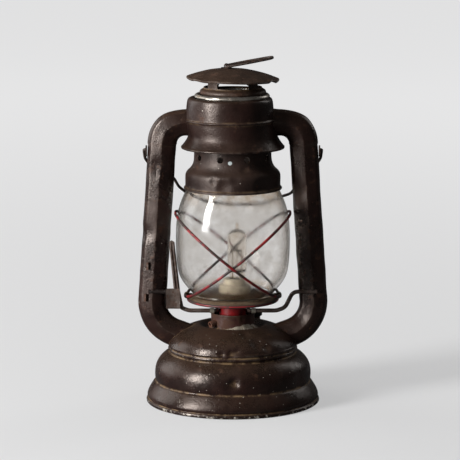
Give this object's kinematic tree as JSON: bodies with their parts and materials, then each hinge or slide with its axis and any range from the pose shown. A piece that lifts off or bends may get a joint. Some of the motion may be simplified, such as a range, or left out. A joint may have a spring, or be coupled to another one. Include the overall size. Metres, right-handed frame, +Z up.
{
  "type": "oil lamp",
  "caption": "Small tubular hurricane lantern with a lifting globe carriage, sliding hood, lift ring and swinging bail, converted to a capsule lamp.",
  "frame": {"origin": "centre of the tank's foot on the table", "axes": "+Z up, -Y the front of the lantern, +X to the right seen from the front"},
  "size_m": [0.1346, 0.1228, 0.2456],
  "materials": {
    "aged_steel": "aged dark brown paint, worn and stained",
    "rusty_steel": "dark rusted steel",
    "bare_steel": "dull bare steel",
    "solder": "dusty soft solder",
    "red_paint": "worn red paint",
    "gasket_rubber": "matte",
    "globe_glass": "clear, grimy",
    "lamp_glass": "clear, smoked",
    "lamp_ceramic": "cream glazed steatite",
    "contact_brass": "dull",
    "lead_rubber": "matte",
    "block_plastic": "matte",
    "lamp_metal": "satin"
  },
  "bodies": {
    "lantern_body": {"tank_shell": "aged_steel", "tank_base_plate": "bare_steel", "burner_collar": "aged_steel", "collar_solder": "solder", "wick_shaft_gland": "rusty_steel", "filler_neck": "aged_steel", "right_side_tube": "aged_steel", "left_side_tube": "aged_steel", "right_elbow": "aged_steel", "left_elbow": "aged_steel", "right_bail_ear": "aged_steel", "left_bail_ear": "aged_steel", "left_tube_tabs": "rusty_steel", "canopy": "aged_steel", "canopy_top_ring": "bare_steel"},
    "carriage": {"globe": "globe_glass", "globe_plate": "aged_steel", "carriage_hub": "red_paint", "guard_hoop_right": "red_paint", "guard_hoop_left": "red_paint", "left_guard_eyelet": "bare_steel", "right_guard_eyelet": "bare_steel", "lamp_holder": "lamp_ceramic", "holder_contacts": "contact_brass", "lamp_leads": "lead_rubber", "terminal_block": "block_plastic"},
    "lamp": {"lamp_glass": "lamp_glass", "lamp_filament": "lamp_metal"},
    "crank": {"right_crank_arm": "rusty_steel", "left_crank_arm": "rusty_steel", "right_ferrule": "bare_steel", "left_ferrule": "bare_steel", "lift_loop": "rusty_steel", "lift_lever": "rusty_steel"},
    "hood": {"bell": "aged_steel", "chimney": "bare_steel", "crown": "aged_steel", "hood_cap": "aged_steel", "ring_staple": "rusty_steel"},
    "lift_ring": {"lift_ring": "rusty_steel"},
    "bail": {"bail": "rusty_steel"},
    "filler_gasket": {"filler_gasket": "gasket_rubber"},
    "filler_cap": {"filler_cap": "rusty_steel"}
  },
  "joints": [
    {"name": "carriage_lift", "type": "slide", "parent": "lantern_body", "child": "carriage", "axis": [0, 0, 1], "range_m": [0, 0.0085]},
    {"name": "crank_turn", "type": "hinge", "parent": "lantern_body", "child": "crank", "pos_m": [0, -0.0062, 0.0795], "axis": [1, 0, 0], "range_deg": [0, 27.6]},
    {"name": "hood_lift", "type": "slide", "parent": "carriage", "child": "hood", "axis": [0, 0, 1], "range_m": [0, 0.01]},
    {"name": "ring_turn", "type": "hinge", "parent": "hood", "child": "lift_ring", "pos_m": [-0.0045, 0, 0.2387], "axis": [0, -1, 0], "range_deg": [0, 160]},
    {"name": "bail_swing", "type": "hinge", "parent": "lantern_body", "child": "bail", "pos_m": [0, 0, 0.18], "axis": [1, 0, 0], "range_deg": [-10, 262]},
    {"name": "lamp_pull", "type": "slide", "parent": "carriage", "child": "lamp", "axis": [0, 0, 1], "range_m": [0, 0.009]},
    {"name": "cap_rise", "type": "slide", "parent": "lantern_body", "child": "filler_gasket", "axis": [0, 0, 1], "range_m": [0, 0.0019]},
    {"name": "cap_turn", "type": "hinge", "parent": "filler_gasket", "child": "filler_cap", "pos_m": [0.0145, 0.029, 0.058], "axis": [0, 0, 1], "range_deg": [0, 450]}
  ],
  "couplings": [
    {"joint": "crank_turn", "follows": "carriage_lift", "rad_per_m": 56.5},
    {"joint": "cap_rise", "follows": "cap_turn", "m_per_rad": 0.00023873}
  ]
}
